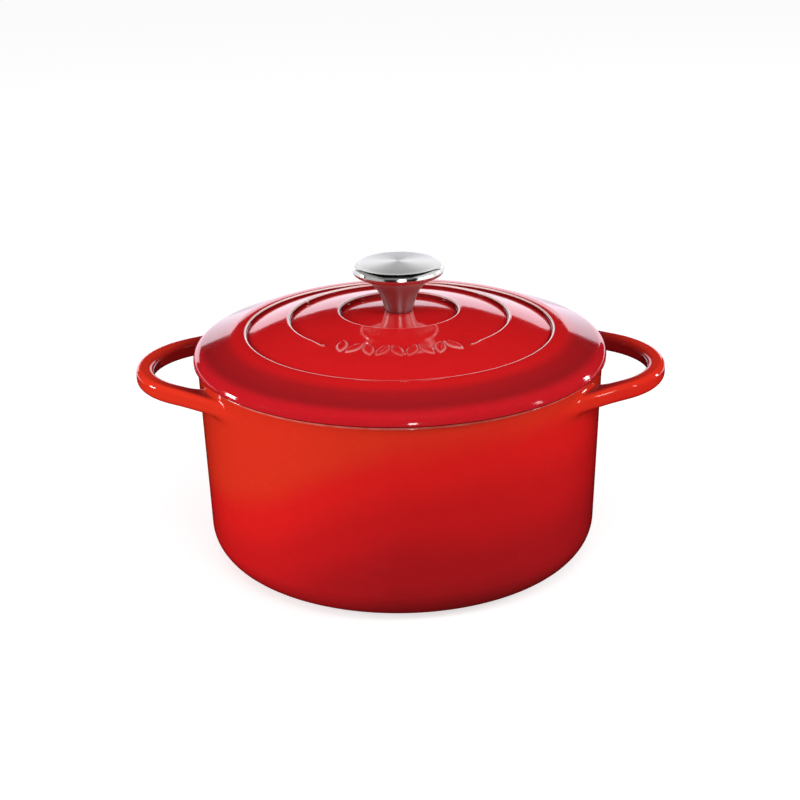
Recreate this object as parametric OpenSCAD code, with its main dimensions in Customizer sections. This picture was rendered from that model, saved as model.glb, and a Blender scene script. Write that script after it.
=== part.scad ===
// Round cast iron dutch oven: an enamelled pot with two cast loop handles, a stepped lid that
// sits on the rim, and a steel knob screwed to the lid from below.
// Millimetres, +Z up. The origin is the centre of the base, on the surface the pot stands on,
// and the handles lie along X.

/* [Pot] */
// Outer diameter of the pot at its rim
pot_d = 246.8; // [244:0.2:248]
// Height of the rim above the base
pot_h = 123.5; // [118:0.5:140]
// Thickness of the wall
wall_t = 3.3; // [3:0.1:4]
// Thickness of the floor
floor_t = 4; // [3.6:0.1:6]
// Lean of the wall from the vertical, in degrees
wall_lean = 1.8; // [0.5:0.1:3]
// Outer radius of the corner between wall and base
corner_r = 19.5; // [14:0.5:24]
// Radius of the shallow hollow in the base
hollow_r = 84; // [40:1:90]
// Depth of the shallow hollow in the base
hollow_h = 0.6; // [0.2:0.1:1]

/* [Handles] */
// Width over both handles
handle_span = 324; // [318:1:332]
// Outer radius of each handle's bend, seen from above
bend_r = 56; // [52:0.5:60]
// Angle that the bend turns through to each side of its middle, in degrees
bend_angle = 57; // [52:0.5:60]
// Thickness of the handle's strap, seen from above
strap_t = 10.6; // [8:0.2:12]
// Height of the handle's strap
strap_h = 10.6; // [8:0.2:11]
// Height of the strap's middle above the base
strap_z = 113.4; // [100:0.2:114]

/* [Lid] */
// Largest diameter of the lid
lid_d = 251.6; // [250:0.2:254]
// Radius of the dome that the lid's zones follow
dome_r = 240; // [220:2:300]
// Height of the foot of the outermost step above the rim
first_foot = 13.4; // [12:0.1:16]
// Thickness of the lid
lid_t = 4; // [3.8:0.1:5]
// Thickness of the flat pad at the middle of the lid, where the knob is screwed on
pad_t = 5; // [4.5:0.1:6]
// Gap between the lid's seat and the rim
seat_gap = 0.2; // [0.1:0.05:0.4]
// Depth of the locating rib below the seat
rib_h = 5; // [3:0.5:8]

/* [Knob] */
// Diameter of the knob's disc
knob_d = 56; // [50:0.5:60]
// Height of the knob
knob_h = 31; // [29:0.1:34]
// Diameter of the knob's foot
foot_d = 16.6; // [15.6:0.2:18]

/* [Fixings] */
// Diameter of the screw's shank
screw_d = 6; // [5:0.5:6]
// Length of the screw's shank
screw_l = 16; // [14:0.5:17]
// Thickness of the seal under the knob's foot
knob_seal_t = 0.6; // [0.4:0.1:1]
// Thickness of the seal against the underside of the lid
lid_seal_t = 1; // [0.5:0.1:1.5]
// Thickness of each of the two steel washers
washer_t = 1.6; // [1:0.1:2]

/* [Hidden] */
$fn = 180;

enamel = [0.78, 0.09, 0.09];
dark_seal = [0.12, 0.12, 0.13];
steel = [0.78, 0.78, 0.76];
zinc = [0.62, 0.63, 0.65];

// Points along an arc round centre, from angle a to angle b
function arc(centre, r, a, b, n) =
    [for (i = [0:n]) centre + r * [cos(a + (b - a) * i / n), sin(a + (b - a) * i / n)]];

// Height of a spherical dome of radius big at distance r from the axis, below its top
function drop(big, r) = big - sqrt(big * big - r * r);

// --- Pot ---

rim_round = 1.3;
rim_inner_round = 0.7;
hollow_edge = 1.5;
inner_corner_r = corner_r - wall_t;

// Radius of the wall's outer and inner faces at height z
function wall_r(z) = pot_d / 2 - tan(wall_lean) * (pot_h - z);
function bore_r(z) = wall_r(z) - wall_t / cos(wall_lean);

// Heights at which the rounded corners meet the leaning wall
outer_meet = corner_r * (1 - sin(wall_lean));
inner_meet = floor_t + inner_corner_r * (1 - sin(wall_lean));

pot_outline = concat(
    [[0, hollow_h], [hollow_r, hollow_h], [hollow_r + hollow_edge, 0]],
    arc([wall_r(outer_meet) - corner_r * cos(wall_lean), corner_r], corner_r, -90, -wall_lean, 14),
    arc([wall_r(pot_h) - rim_round, pot_h - rim_round], rim_round, 0, 90, 5),
    arc([bore_r(pot_h) + rim_inner_round, pot_h - rim_inner_round], rim_inner_round, 90, 180, 3),
    arc([bore_r(inner_meet) - inner_corner_r * cos(wall_lean), floor_t + inner_corner_r],
        inner_corner_r, -wall_lean, -90, 12),
    [[0, floor_t]]
);

// The space inside the pot, reaching well above the rim
cavity_outline = concat(
    arc([bore_r(inner_meet) - inner_corner_r * cos(wall_lean), floor_t + inner_corner_r],
        inner_corner_r, -90, -wall_lean, 12),
    [[bore_r(pot_h), pot_h], [bore_r(pot_h), pot_h + 20], [0, pot_h + 20], [0, floor_t]]
);

bend_x = handle_span / 2 - bend_r;
strap_round = 3.4;
// Each arm runs on past the bend by arm_l, into the wall, and widens from flare_from on
arm_l = 46;
flare_from = 8;
inner_flare = 8;
outer_flare = 1.5;
root_inset = 0.4;

// Section of the strap: a rectangle with rounded corners, middle at the origin
function strap_section() =
    let (x = strap_t / 2 - strap_round, y = strap_h / 2 - strap_round)
    concat(
        arc([x, y], strap_round, 0, 90, 4),
        arc([-x, y], strap_round, 90, 180, 4),
        arc([-x, -y], strap_round, 180, 270, 4),
        arc([x, -y], strap_round, 270, 360, 4)
    );

// One straight arm of the loop, from the end of the bend into the wall, with its flared root
module arm() {
    translate([bend_x, 0, strap_z]) rotate([0, 0, bend_angle]) translate([bend_r - strap_t / 2, 0, 0]) {
        rotate([90, 0, 0]) translate([0, 0, -arm_l]) linear_extrude(arm_l) polygon(strap_section());
        translate([0, 0, -strap_h / 2 + root_inset]) linear_extrude(strap_h - 2 * root_inset)
            polygon([
                [strap_t / 2 - root_inset, flare_from],
                [strap_t / 2 + outer_flare, arm_l],
                [-strap_t / 2 - inner_flare, arm_l],
                [-strap_t / 2 - inner_flare, arm_l / 2],
                [root_inset - strap_t / 2, flare_from]
            ]);
    }
}

// One loop handle on the +X side, with its arms reaching through the wall
module handle_loop() {
    translate([bend_x, 0, strap_z]) rotate([0, 0, -bend_angle])
        rotate_extrude(angle = 2 * bend_angle)
            translate([bend_r - strap_t / 2, 0]) polygon(strap_section());
    arm();
    mirror([0, 1, 0]) arm();
}

// The pot is one casting: the handles are cast with the wall, and end flush with its inner face
module pot() {
    color(enamel) {
        rotate_extrude() polygon(pot_outline);
        difference() {
            union() {
                handle_loop();
                mirror([1, 0, 0]) handle_loop();
            }
            rotate_extrude() polygon(cavity_outline);
        }
    }
}

// --- Lid ---

seat_z = pot_h + seat_gap;
// Radii of the three steps, from the outermost in, and how far each drops
step_r = [93.2, 66.5, 36];
step_h = [2.5, 2.6, 3.1];
crest_r = 1;
crest_band = 6;
shoulder_r = 8;
shoulder_lean = 20.5;
lip_r = 1.6;
pad_r = 9.5;
rib_t = 3.6;
rib_clearance = 0.8;
rib_round = 1;
rib_fillet = 4;
screw_hole_d = 7;
// How far inside and outside each step the underside steps too
under_in = 2;
under_out = 4;

// Height of each zone's outer foot: a zone rises along the dome, and then drops by its step
foot_2 = pot_h + first_foot;
foot_3 = foot_2 + drop(dome_r, step_r[0]) - drop(dome_r, step_r[1]) - step_h[1];
foot_4 = foot_3 + drop(dome_r, step_r[1]) - drop(dome_r, step_r[2]) - step_h[2];
lid_top = foot_4 + drop(dome_r, step_r[2]) - drop(dome_r, pad_r);

// Points of a zone's surface from its outer foot in to its inner edge
function zone(foot, outer, inner, n) =
    [for (i = [0:n]) let (r = outer + (inner - outer) * i / n) [r, foot + drop(dome_r, outer) - drop(dome_r, r)]];

crest_z = foot_2 + step_h[0];
slope_start = [step_r[0] + crest_band, crest_z];

// Height of the outer slope at distance r from the axis
function slope_z(r) = crest_z - tan(shoulder_lean) * (r - slope_start[0]);

shoulder_x = lid_d / 2 - shoulder_r;
shoulder_top = shoulder_x + shoulder_r * sin(shoulder_lean);
shoulder_z = slope_z(shoulder_top) - shoulder_r * cos(shoulder_lean);

rib_outer = bore_r(pot_h) - rib_clearance;
rib_inner = rib_outer - rib_t;
under_top = lid_top - pad_t;

// Points of the underside below a zone, from its inner edge out
function under_zone(foot, inner, outer, n) =
    [for (i = [n:-1:0]) zone(foot - lid_t, outer, inner, n)[i]];

lid_outline = concat(
    [[screw_hole_d / 2, lid_top], [screw_hole_d / 2, under_top], [pad_r, under_top]],
    under_zone(foot_4, pad_r + 1, step_r[2] - under_in, 4),
    under_zone(foot_3, step_r[2] + under_out, step_r[1] - under_in, 5),
    under_zone(foot_2, step_r[1] + under_out, step_r[0] - under_in, 5),
    [[step_r[0] + under_out, crest_z - lid_t]],
    arc([rib_inner - rib_fillet, slope_z(rib_inner - rib_fillet) - lid_t - rib_fillet], rib_fillet, 70, 0, 4),
    arc([rib_inner + rib_round, seat_z - rib_h + rib_round], rib_round, 180, 270, 3),
    arc([rib_outer - rib_round, seat_z - rib_h + rib_round], rib_round, 270, 360, 3),
    [[rib_outer, seat_z]],
    arc([lid_d / 2 - lip_r, seat_z + lip_r], lip_r, -90, -10, 4),
    arc([shoulder_x, shoulder_z], shoulder_r, 0, 90 - shoulder_lean, 8),
    [slope_start],
    [[step_r[0] + crest_r, crest_z]],
    arc([step_r[0] + crest_r, crest_z - crest_r], crest_r, 90, 180, 4),
    zone(foot_2, step_r[0], step_r[1] + crest_r, 6),
    arc([step_r[1] + crest_r, foot_3 + step_h[1] - crest_r], crest_r, 75, 180, 4),
    zone(foot_3, step_r[1], step_r[2] + crest_r, 6),
    arc([step_r[2] + crest_r, foot_4 + step_h[2] - crest_r], crest_r, 78, 180, 4),
    zone(foot_4, step_r[2], pad_r, 5)
);

module lid() {
    color(enamel) rotate_extrude() polygon(lid_outline);
}

// --- Knob and its fixings, from the top down ---

knob_z = lid_top + knob_seal_t;
foot_round = 0.7;
disc_edge = 3.4;
disc_mid = knob_h - 4.7;
disc_low = disc_mid - disc_edge;
disc_dome = 1.3;
stem_slope = 0.27;
thread_clearance = 0.05;
tapped_depth = 10;

// Radius of the trumpet stem at height h: a slight taper that flares into the disc
flare = knob_d / 2 - disc_edge - foot_d / 2 - stem_slope * disc_low;
function stem_r(h) = foot_d / 2 + stem_slope * h + flare * pow(h / disc_low, 4);

knob_outline = concat(
    [[0, tapped_depth], [screw_d / 2 + thread_clearance, tapped_depth], [screw_d / 2 + thread_clearance, 0]],
    arc([foot_d / 2 - foot_round, foot_round], foot_round, -90, 0, 3),
    [for (i = [1:11]) let (h = disc_low * i / 12) [stem_r(h), h]],
    arc([knob_d / 2 - disc_edge, disc_mid], disc_edge, -90, 75, 9),
    [for (i = [3:-1:0]) let (r = (knob_d / 2 - disc_edge) * i / 4) [r, knob_h - disc_dome * pow(i / 4, 2)]]
);

module knob() {
    color(steel) translate([0, 0, knob_z]) rotate_extrude() polygon(knob_outline);
}

// A flat ring with its top face at height top
module ring(top, t, outer_d, inner_d) {
    translate([0, 0, top - t]) difference() {
        cylinder(h = t, d = outer_d);
        translate([0, 0, -1]) cylinder(h = t + 2, d = inner_d);
    }
}

lid_seal_d = 17;
flat_washer_d = 15;
spring_washer_d = 11;
spring_gap = 1.2;
seal_hole_d = screw_d + 0.6;
washer_hole_d = screw_d + 0.4;
flat_washer_z = under_top - lid_seal_t;
spring_washer_z = flat_washer_z - washer_t;
head_z = spring_washer_z - washer_t;

module knob_gasket() {
    color(dark_seal) ring(knob_z, knob_seal_t, foot_d - 0.6, seal_hole_d);
}

module lid_gasket() {
    color(dark_seal) ring(under_top, lid_seal_t, lid_seal_d, seal_hole_d);
}

module flat_washer() {
    color(zinc) ring(flat_washer_z, washer_t, flat_washer_d, washer_hole_d);
}

// A split lock washer, pressed flat as it is when the screw is tight
module spring_washer() {
    color(zinc) difference() {
        ring(spring_washer_z, washer_t, spring_washer_d, washer_hole_d);
        translate([spring_washer_d / 4, 0, head_z - 1]) rotate([0, 0, 12])
            translate([-1, -spring_gap / 2, 0]) cube([spring_washer_d, spring_gap, washer_t + 2]);
    }
}

head_d = 2 * screw_d;
head_h = 0.7 * screw_d;
head_round = 2.4;
recess_w = 1.3;
recess_l = 6.6;
recess_h = 2.2;

// A pan head screw with its head down, and a cross recess in the head
module knob_screw() {
    color(zinc) difference() {
        rotate_extrude() polygon(concat(
            [[0, head_z - head_h]],
            arc([head_d / 2 - head_round, head_z - head_h + head_round], head_round, -90, 0, 5),
            [[head_d / 2, head_z], [screw_d / 2, head_z]],
            [[screw_d / 2, head_z + screw_l - 0.8], [screw_d / 2 - 0.8, head_z + screw_l], [0, head_z + screw_l]]
        ));
        for (turn = [0, 90])
            rotate([0, 0, turn]) translate([-recess_l / 2, -recess_w / 2, head_z - head_h - 1])
                cube([recess_l, recess_w, recess_h + 1]);
    }
}

pot();
lid();
knob();
knob_gasket();
lid_gasket();
flat_washer();
spring_washer();
knob_screw();
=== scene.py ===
import math

import bmesh
import bpy
import numpy as np
from mathutils import Matrix, Vector


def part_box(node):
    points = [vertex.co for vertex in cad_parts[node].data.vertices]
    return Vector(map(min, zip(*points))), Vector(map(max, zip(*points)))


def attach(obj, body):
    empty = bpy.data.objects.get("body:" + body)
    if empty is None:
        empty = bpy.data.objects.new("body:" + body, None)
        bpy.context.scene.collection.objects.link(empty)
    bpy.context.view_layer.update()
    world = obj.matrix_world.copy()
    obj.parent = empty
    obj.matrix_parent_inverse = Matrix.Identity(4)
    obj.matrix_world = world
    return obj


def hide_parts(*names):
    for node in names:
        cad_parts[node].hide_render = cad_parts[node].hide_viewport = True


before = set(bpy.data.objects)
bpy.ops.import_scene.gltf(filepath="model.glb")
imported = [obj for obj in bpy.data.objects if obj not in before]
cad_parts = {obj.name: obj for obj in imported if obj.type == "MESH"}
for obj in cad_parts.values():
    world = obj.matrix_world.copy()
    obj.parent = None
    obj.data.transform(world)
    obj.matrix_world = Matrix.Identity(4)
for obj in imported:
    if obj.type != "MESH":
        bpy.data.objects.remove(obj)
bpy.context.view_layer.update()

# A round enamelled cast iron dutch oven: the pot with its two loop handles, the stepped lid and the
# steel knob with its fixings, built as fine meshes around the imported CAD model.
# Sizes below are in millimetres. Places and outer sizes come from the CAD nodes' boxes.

MM = 0.001


def node_box(node):
    """Lowest and highest corner of a CAD node, in millimetres."""
    low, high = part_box(node)
    return np.array(low) / MM, np.array(high) / MM


POT_HIGH = node_box("pot")[1]
LID_LOW, LID_HIGH = node_box("lid")
KNOB_LOW, KNOB_HIGH = node_box("knob")

# --- Sizes of the pot ---
RIM_R = POT_HIGH[1]
POT_H = POT_HIGH[2]
WALL_T = 3.3
FLOOR_T = 4.0
WALL_LEAN = math.radians(1.8)
CORNER_R = 19.5
HOLLOW_R = 84.0
HOLLOW_H = 0.6
HOLLOW_EDGE = 1.5
HOLLOW_BEND = 0.5
RIM_ROUND = 1.3
RIM_INNER_ROUND = 0.7

# --- Sizes of the loop handles ---
TIP_X = POT_HIGH[0]
BEND_R = 56.0
BEND_ANGLE = math.radians(57)
STRAP_T = 10.6
STRAP_H = 10.6
STRAP_Z = 113.4
STRAP_ROUND = 3.4
FLARE_FROM = 8.0
FLARE_TO = 34.0
INNER_FLARE = 6.0
OUTER_FLARE = 1.0
ROOT_BLEND = 8.0
RIM_BLEND = 2.4
PATCH_HALF_ANGLE = 42.0
PATCH_LOW = 99.0
PATCH_STEP = 1.0
PATCH_ANGLE_STEP = 0.5
PATCH_DEPTH = -2.5
PATCH_MARGIN = 6.0
BLEND_CHANGE = 2.0
# Where the painted shade on the handles gives way to the lit colour, with some painted light on their top
# faces: ranges of the radius and of how far a face looks out
HANDLE_SHADE_R = (RIM_R + 0.5, RIM_R + 3)
HANDLE_TOP_LIGHT_R = (126, 158)
HANDLE_TOP_LIGHT_SHARE = 0.75
HANDLE_SHADE_FACING = (-0.15, 0.75)

# --- Sizes of the lid ---
LID_R = LID_HIGH[1]
DOME_R = 240.0
STEP_R = (93.2, 66.5, 36.0)
STEP_H = (2.5, 2.6, 3.1)
FOOT_ROUND = 0.9
CREST_R = 1.0
CREST_BAND = 6.0
CREST_EDGE = 1.3 * CREST_R
# Width of the painted highlight past each crest
CREST_LINE = 1.1 * CREST_R
CREST_START = 0.02
SHOULDER_R = 8.0
SHOULDER_LEAN = math.radians(20.5)
LIP_R = 1.6
LID_T = 4.0
UNDER_INSIDE = 2.0
UNDER_OUTSIDE = 4.0
PAD_T = 5.0
PAD_R = 9.5
RIB_T = 3.6
RIB_H = 5.0
RIB_CLEARANCE = 0.8
RIB_ROUND = 1.0
RIB_FILLET = 4.0
SCREW_HOLE_R = 3.5
# The middle step ends at the front, where a row of leaves in low relief takes its place
FRONT = 270.0
GAP_HALF_ANGLE = 43.0
GAP_FADE = 5.0
GAP_INNER_R = 47.0
GAP_OUTER_R = 84.0
GAP_RISE_HALF = 15.0
GAP_STEP_ROWS, GAP_EVEN_ROWS = 0.8, 0.2
LEAF_COUNT = 9
LEAF_SPAN = 62.0
LEAF_R = 62.5
LEAF_HALF_LENGTH = 7.0
LEAF_HALF_WIDTH = 3.1
LEAF_TILT = math.radians(24)
LEAF_HEIGHT = 1.1
# Strength of the painted highlight along the leaf outlines
LEAF_OUTLINE_HIGHLIGHT = 0.4
LEAF_LINE_INSET = 0.2
LEAF_LINE_WIDTH = 0.4
VEIN_DEPTH = 0.3
VEIN_WIDTH = 0.45

# --- Sizes of the knob ---
KNOB_H = KNOB_HIGH[2] - KNOB_LOW[2]
KNOB_R = KNOB_HIGH[1]
FOOT_R = 8.3
KNOB_FOOT_ROUND = 0.7
DISC_EDGE = 3.4
DISC_MID = KNOB_H - 4.7
DISC_LOW = DISC_MID - DISC_EDGE
DISC_DOME = 1.3
STEM_SLOPE = 0.27
TAPPED_R = 3.05
TAPPED_DEPTH = 10.0

# --- Sizes of the fixings ---
SEAL_HOLE_R = 3.3
WASHER_HOLE_R = 3.2
WIRE_EDGE = 0.25
LOCK_GAP = math.radians(13)
LOCK_SLANT = math.radians(6)
HEAD_H = 4.2
HEAD_ROUND = 2.4
SHANK_R = 3.0
SHANK_TIP = 0.8
# The cross recess: half widths and reaches of its arms at the mouth and at the bottom, and its depth
CROSS_MOUTH = (0.75, 3.7)
CROSS_BOTTOM = (0.5, 1.2)
CROSS_DEPTH = 2.2
CROSS_BELOW = 0.6

# --- Fineness of the meshes: steps in degrees, and numbers of columns and rows ---
COLUMN_STEP = 1.5
LEAF_COLUMN_STEP = 0.5
LEAF_COLUMN_MARGIN = 3.0
KNOB_COLUMNS = 180
FIXING_COLUMNS = 96
STEM_ROWS = 40
FACE_ROWS = 16
LOCK_ROWS = 72


# --- Mesh building ---

def arc(centre, radius, start, end, steps):
    """Points on an arc in the plane of radius and height, between two angles in degrees."""
    angles = np.radians(np.linspace(start, end, steps + 1))
    return [(centre[0] + radius * math.cos(a), centre[1] + radius * math.sin(a)) for a in angles]


def with_steps(points, longest):
    """The same outline with extra points, so that no segment is longer than asked."""
    result = [points[0]]
    for a, b in zip(points, points[1:]):
        parts = max(1, math.ceil(math.dist(a, b) / longest))
        result += [(a[0] + (b[0] - a[0]) * i / parts, a[1] + (b[1] - a[1]) * i / parts)
                   for i in range(1, parts + 1)]
    return result


class Shell:
    """The points and faces of one mesh while it is being built, in millimetres."""

    def __init__(self):
        self.points = np.zeros((0, 3))
        self.faces = []
        self.slots = []
        self.known_normals = {}
        self.values = {}

    def add_points(self, points):
        first = len(self.points)
        self.points = np.vstack((self.points, points))
        return np.arange(first, len(self.points))

    def add_face(self, corners, slot=0):
        corners = [c for i, c in enumerate(corners) if c != corners[i - 1]]
        if len(corners) > 2:
            self.faces.append(corners)
            self.slots.append(slot)

    def lathe(self, outline, angles, slots=None, closed=False, hole=None):
        """Turns an outline of (radius, height) about Z.
        Returns the numbers of the points, with a row for each point of the outline."""
        rows = []
        for radius, height in outline:
            if radius < 1e-6:
                rows.append(np.full(len(angles), self.add_points([(0, 0, height)])[0]))
            else:
                ring = (radius * np.cos(angles), radius * np.sin(angles), np.full(len(angles), height))
                rows.append(self.add_points(np.column_stack(ring)))
        grid = np.array(rows)
        last = len(outline) if closed else len(outline) - 1
        for i in range(last):
            low, high = grid[i].tolist(), grid[(i + 1) % len(outline)].tolist()
            slot = slots[i] if slots else 0
            for j in range(len(angles)):
                k = (j + 1) % len(angles)
                if not (hole and hole(i, j)):
                    self.add_face([low[j], low[k], high[k], high[j]], slot)
        return grid

    def normals(self):
        """Point normals weighted by the area of the faces around each point."""
        total = np.zeros_like(self.points)
        for count in (3, 4):
            corners = np.array([f for f in self.faces if len(f) == count])
            if len(corners):
                across = self.points[corners[:, 2]] - self.points[corners[:, 0]]
                weighted = np.cross(across, self.points[corners[:, count - 1]] - self.points[corners[:, 1]])
                for c in range(count):
                    np.add.at(total, corners[:, c], weighted)
        for number, normal in self.known_normals.items():
            total[number] = normal
        return total / np.maximum(np.linalg.norm(total, axis=1), 1e-12)[:, None]

    def build(self, name, materials):
        """Makes the Blender object, smooth shaded, in metres."""
        mesh = bpy.data.meshes.new(name)
        mesh.from_pydata((self.points * MM).tolist(), [], self.faces)
        mesh.polygons.foreach_set("use_smooth", [True] * len(self.faces))
        mesh.polygons.foreach_set("material_index", self.slots)
        for material in materials:
            mesh.materials.append(material)
        mesh.normals_split_custom_set_from_vertices(self.normals().tolist())
        for layer, values in self.values.items():
            mesh.attributes.new(layer, "FLOAT", "POINT").data.foreach_set("value", values)
        mesh.update()
        piece = bpy.data.objects.new(name, mesh)
        bpy.context.scene.collection.objects.link(piece)
        return piece


def even_angles(count):
    return np.radians(np.arange(count) * 360 / count)


def angles_with_fine_parts(coarse, fine, centres, half):
    """Column angles in radians round the circle: fine steps near the given centres, coarse ones between."""
    degrees = {round(a, 4) for a in np.arange(0, 360, coarse)}
    for centre in centres:
        degrees = {a for a in degrees if abs((a - centre + 180) % 360 - 180) > half}
    for centre in centres:
        degrees |= {round(a % 360, 4) for a in np.arange(centre - half, centre + half + fine / 2, fine)}
    return np.radians(sorted(degrees))


# --- The pot ---

def wall_r(height):
    """Radius of the pot's outer wall at a height."""
    return RIM_R - math.tan(WALL_LEAN) * (POT_H - height)


def bore_r(height):
    return wall_r(height) - WALL_T / math.cos(WALL_LEAN)


def patch_heights():
    """Heights of the wall's rows where the handles grow out of it."""
    return np.arange(PATCH_LOW, POT_H - RIM_ROUND - PATCH_STEP / 2, PATCH_STEP)


def pot_outline():
    """The pot's outline from the middle of the base, up the wall and down to the middle of the floor."""
    lean = math.degrees(WALL_LEAN)
    outer_meet = CORNER_R * (1 - math.sin(WALL_LEAN))
    inner_r = CORNER_R - WALL_T
    inner_meet = FLOOR_T + inner_r * (1 - math.sin(WALL_LEAN))
    corner_x = wall_r(outer_meet) - CORNER_R * math.cos(WALL_LEAN)
    inner_x = bore_r(inner_meet) - inner_r * math.cos(WALL_LEAN)
    first_fall, last_fall = 0.25, 0.05
    base = [(0, HOLLOW_H), (HOLLOW_R - HOLLOW_BEND, HOLLOW_H),
            (HOLLOW_R + HOLLOW_BEND, HOLLOW_H - first_fall),
            (HOLLOW_R + HOLLOW_EDGE, last_fall), (HOLLOW_R + HOLLOW_EDGE + HOLLOW_BEND, 0)]
    outside = with_steps(base, 6) + arc((corner_x, CORNER_R), CORNER_R, -90, -lean, 24)
    foot = outside[-1]
    outside += with_steps([foot, (wall_r(PATCH_LOW), PATCH_LOW)], 5)[1:-1]
    outside += [(wall_r(z), z) for z in patch_heights()]
    rim = arc((RIM_R - RIM_ROUND, POT_H - RIM_ROUND), RIM_ROUND, 0, 90, 8)
    rim += arc((bore_r(POT_H) + RIM_INNER_ROUND, POT_H - RIM_INNER_ROUND), RIM_INNER_ROUND, 90, 180, 6)
    inside = with_steps([rim[-1], (bore_r(inner_meet), inner_meet)], 5)[1:-1]
    inside += arc((inner_x, FLOOR_T + inner_r), inner_r, -lean, -90, 20)
    inside += with_steps([inside[-1], (0, FLOOR_T)], 8)[1:]
    return outside, rim, inside


def smooth_step(x, start, end):
    t = np.clip((x - start) / (end - start), 0, 1)
    return t * t * (3 - 2 * t)


def strap_field(x, y, z):
    """Below 0 inside a handle's strap: a bend at the tip and two legs that flare towards the wall."""
    bend_x = TIP_X - BEND_R
    middle_r = BEND_R - STRAP_T / 2
    along_x, along_y = -math.sin(BEND_ANGLE), math.cos(BEND_ANGLE)
    end_x, end_y = bend_x + middle_r * math.cos(BEND_ANGLE), middle_r * math.sin(BEND_ANGLE)
    along = (x - end_x) * along_x + (y - end_y) * along_y
    across = (x - end_x) * along_y - (y - end_y) * along_x
    bent = np.hypot(x - bend_x, y) - middle_r
    in_bend = np.arctan2(y, x - bend_x) < BEND_ANGLE
    side = np.where(in_bend, bent, across)
    flare = np.where(in_bend, 0, smooth_step(along, FLARE_FROM, FLARE_TO))
    half_t = STRAP_T / 2 + flare * (INNER_FLARE + OUTER_FLARE) / 2
    side = side + flare * (INNER_FLARE - OUTER_FLARE) / 2
    over_t = np.abs(side) - half_t + STRAP_ROUND
    over_h = np.abs(z - STRAP_Z) - STRAP_H / 2 + STRAP_ROUND
    outside = np.hypot(np.maximum(over_t, 0), np.maximum(over_h, 0))
    return outside + np.minimum(np.maximum(over_t, over_h), 0) - STRAP_ROUND


def pot_field(points):
    """Below 0 inside the wall or a handle's strap, with the two blended where they meet."""
    x, y, z = np.abs(points[:, 0]), np.abs(points[:, 1]), points[:, 2]
    wall = (np.hypot(x, y) - wall_r(z)) * math.cos(WALL_LEAN)
    strap = strap_field(x, y, z)
    near_rim = smooth_step(z, STRAP_Z - BLEND_CHANGE, STRAP_Z + STRAP_H / 2)
    reach = ROOT_BLEND + (RIM_BLEND - ROOT_BLEND) * near_rim
    near = np.maximum(reach - np.abs(wall - strap), 0) / reach
    return np.minimum(wall, strap) - near ** 3 * reach / 6


def field_gradient(points, step=0.02):
    parts = []
    for axis in range(3):
        move = np.zeros(3)
        move[axis] = step
        parts.append((pot_field(points + move) - pot_field(points - move)) / (2 * step))
    return np.column_stack(parts)


def onto_surface(points):
    """Moves points onto the pot's blended surface."""
    for _ in range(4):
        slope = field_gradient(points)
        size = np.maximum((slope ** 2).sum(axis=1), 0.1)
        points = points - slope * (pot_field(points) / size)[:, None]
    return points


def cell_points(value, inside, coordinates):
    """In each cell that the surface crosses, one point at the mean of the crossings on the cell's edges."""
    cells = tuple(n - 1 for n in value.shape)
    total, count = np.zeros(cells + (3,)), np.zeros(cells)
    for axis in range(3):
        for shift in range(4):
            start = [shift & 1, shift >> 1]
            start.insert(axis, 0)
            end = list(start)
            end[axis] = 1
            low = tuple(slice(s, s + n) for s, n in zip(start, cells))
            high = tuple(slice(s, s + n) for s, n in zip(end, cells))
            crossed = inside[low] != inside[high]
            share = np.where(crossed, value[low] / np.where(crossed, value[low] - value[high], 1), 0)
            point = coordinates[low] + share[..., None] * (coordinates[high] - coordinates[low])
            total += np.where(crossed[..., None], point, 0)
            count += crossed
    used = np.argwhere(count > 0)
    return used, total[tuple(used.T)] / count[tuple(used.T)][:, None]


def cells_round(edge, others, number):
    """The points of the four cells round one edge of the grid."""
    corners = []
    for da, db in ((0, 0), (1, 0), (1, 1), (0, 1)):
        cell = edge.copy()
        cell[others[0]] -= da
        cell[others[1]] -= db
        corners.append(int(number[tuple(cell)]))
    return corners


def crossing_faces(inside, number):
    """A face across each edge of the grid that goes through the surface."""
    faces = []
    for axis in range(3):
        others = [i for i in range(3) if i != axis]
        size = list(inside.shape)
        size[axis] -= 1
        low = tuple(slice(0, size[i]) for i in range(3))
        high = tuple(slice(1, None) if i == axis else slice(None) for i in range(3))
        for edge in np.argwhere(inside[low] != inside[high]):
            if all(0 < edge[i] < inside.shape[i] - 1 for i in others):
                corners = cells_round(edge, others, number)
                if inside[tuple(edge)] == (axis == 1):
                    corners.reverse()
                faces.append(corners)
    return faces


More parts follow.
